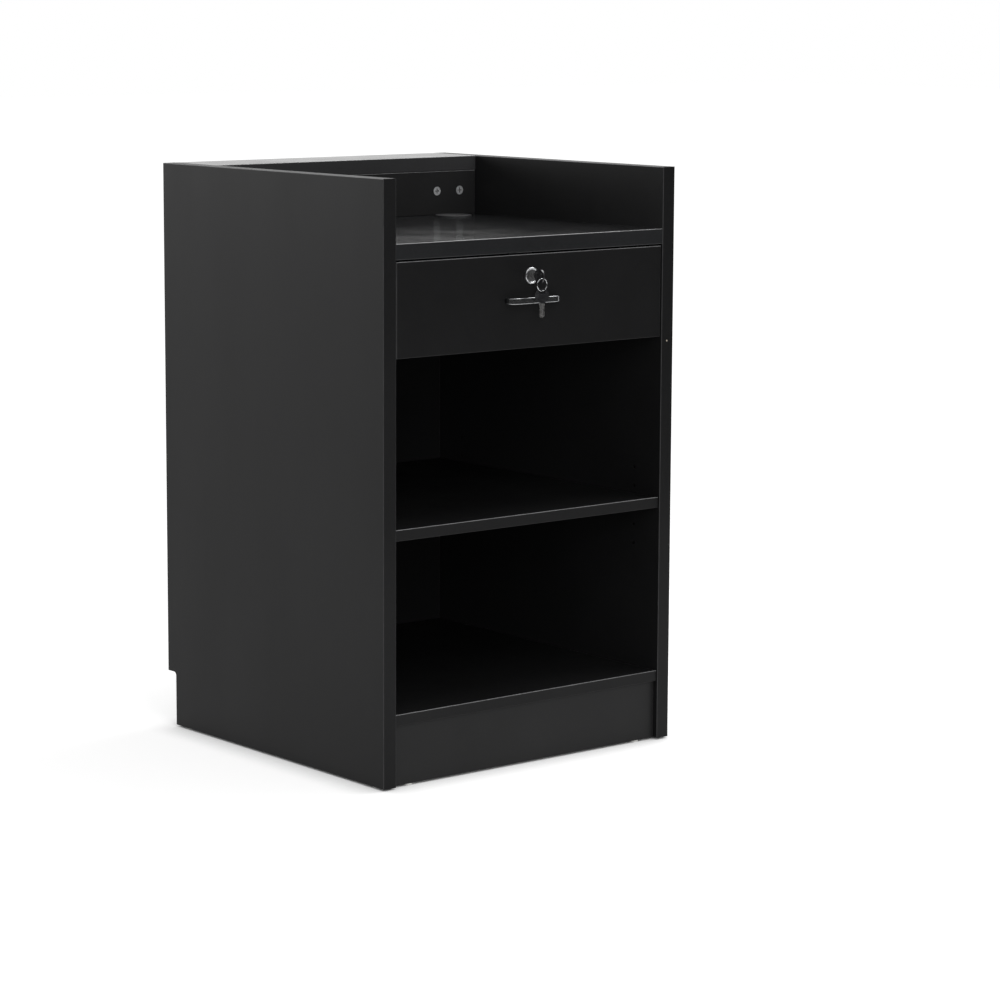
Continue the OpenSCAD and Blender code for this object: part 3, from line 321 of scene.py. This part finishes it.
# Within this distance of the floor, what stands over it dims the floor's glow, which paints a contact shadow
CONTACT_REACH = 0.06
# The glow makes up for less lamplight further from the object: distances, and the glow at each
GLOW_NEAR, GLOW_FAR = 0.8, 5.0
GLOW_RANGE = (0.66, 0.86)


def make_floor():
    """Pale floor that takes the real shadow; its white glow fades where something stands close over it, a
    painted contact shadow.
    """
    half = FLOOR_SIZE / 2
    corners = [(-half, -half, 0), (half, -half, 0), (half, half, 0), (-half, half, 0)]
    _, g = stage_object("floor", corners, [(0, 1, 2, 3)])
    patches = g.node("ShaderNodeTexNoise", {"Scale": 3.0}).outputs["Fac"]
    paint = g.node("ShaderNodeBsdfDiffuse", {"Color": g.mix(patches, *FLOOR_TONES)})
    openness = g.node("ShaderNodeAmbientOcclusion", {"Distance": CONTACT_REACH}, samples=8)
    place = g.node("ShaderNodeTexCoord").outputs["Object"]
    away = g.node("ShaderNodeVectorMath", {0: place}, operation="LENGTH").outputs["Value"]
    level = g.spread(away, GLOW_NEAR, GLOW_FAR, *GLOW_RANGE)
    glow = g.node("ShaderNodeEmission", {
        "Color": openness.outputs["Color"], "Strength": g.math("MULTIPLY", seen_rays(g), level)})
    both = g.node("ShaderNodeAddShader", {0: paint.outputs[0], 1: glow.outputs[0]})
    g.node("ShaderNodeOutputMaterial", {"Surface": both.outputs[0]})


make_floor()

WHITE = (1, 1, 1)
# Strength of the world for rays that carry light, and for rays that see it
WORLD_LIGHT, WORLD_SEEN = 0.45, 1.0


def make_world():
    world = bpy.data.worlds.new("studio")
    bpy.context.scene.world = world
    g = Nodes(world)
    g.tree.nodes.clear()
    lit, seen = (g.node("ShaderNodeBackground", {"Color": WHITE, "Strength": v}).outputs[0]
                 for v in (WORLD_LIGHT, WORLD_SEEN))
    mix = g.node("ShaderNodeMixShader", {0: seen_rays(g), 1: lit, 2: seen})
    g.node("ShaderNodeOutputWorld", {"Surface": mix.outputs[0]})


make_world()


def area_light(name, place, target, size, power, in_gloss):
    """A square soft box, in metres and watts; shiny surfaces show it only where in_gloss is true."""
    light = bpy.data.lights.new(name, "AREA")
    light.shape = "SQUARE"
    light.size = size
    light.energy = power
    obj = new_object(name, light)
    obj.location = place
    obj.rotation_mode = "QUATERNION"
    obj.rotation_quaternion = (Vector(target) - obj.location).to_track_quat("-Z", "Y")
    obj.visible_glossy = in_gloss


BODY, DRAWER, COUNTER = (0, 0, 0.5), (0, 0, 0.85), (0, 0, 0.9)
area_light("top_light", place=(1.4, -0.2, 3.0), target=COUNTER, size=2.0, power=63, in_gloss=True)
area_light("fill_light", place=(-2.1, -3.7, 1.3), target=BODY, size=2.0, power=87, in_gloss=False)
area_light("front_light", place=(-0.9, -2.9, 2.9), target=DRAWER, size=1.6, power=38, in_gloss=False)
area_light("back_light", place=(-2.4, 3.5, 1.5), target=BODY, size=1.5, power=21, in_gloss=True)


def bent_flag(name, radius, start, end, low, high, grey, steps=24):
    """A bent grey card that only shiny surfaces see, as in a studio; angles in degrees from +X."""
    verts = []
    for i in range(steps + 1):
        a = math.radians(start + (end - start) * i / steps)
        verts += [(radius * math.cos(a), radius * math.sin(a), z) for z in (low, high)]
    faces = [(2 * i, 2 * i + 2, 2 * i + 3, 2 * i + 1) for i in range(steps)]
    obj, g = stage_object(name, verts, faces)
    glow = g.node("ShaderNodeEmission", {"Color": (grey, grey, grey)})
    g.node("ShaderNodeOutputMaterial", {"Surface": glow.outputs[0]})
    for ray in ("camera", "diffuse", "shadow", "transmission", "volume_scatter"):
        setattr(obj, "visible_" + ray, False)


bent_flag("front_flag", radius=2.5, start=175, end=345, low=0.02, high=2.0, grey=0.06)

bpy.context.scene.view_settings.view_transform = "Standard"
